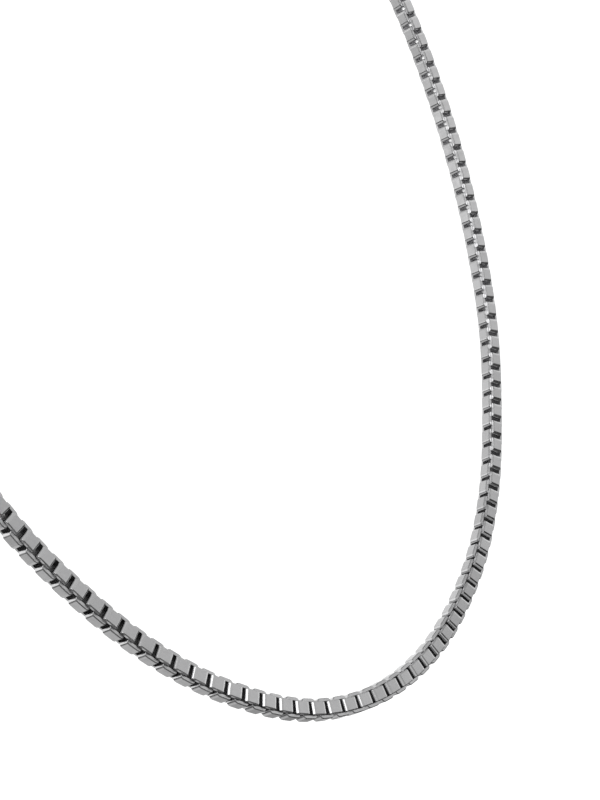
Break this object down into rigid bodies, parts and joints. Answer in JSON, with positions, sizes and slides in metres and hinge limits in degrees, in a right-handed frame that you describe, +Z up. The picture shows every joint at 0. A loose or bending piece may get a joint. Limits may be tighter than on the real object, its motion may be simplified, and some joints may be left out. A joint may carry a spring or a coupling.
{
  "type": "box chain necklace",
  "caption": "Plain steel necklace of square box links, as worn round a neck, closed at the nape by a claw clasp between end rings.",
  "frame": {"origin": "middle of the neck that it is worn on, level with the chain at the nape", "axes": "+Z up along the neck, -Y towards the front, +X to the viewer's right"},
  "size_m": [0.1214, 0.1319, 0.1427],
  "materials": {
    "chain_steel": "satin polished stainless steel",
    "fitting_steel": "satin polished stainless steel"
  },
  "bodies": {
    "root": {"chain_right": "chain_steel", "chain_left": "chain_steel", "end_ring_right": "fitting_steel", "end_ring_left": "fitting_steel", "clasp": "fitting_steel"}
  },
  "joints": []
}
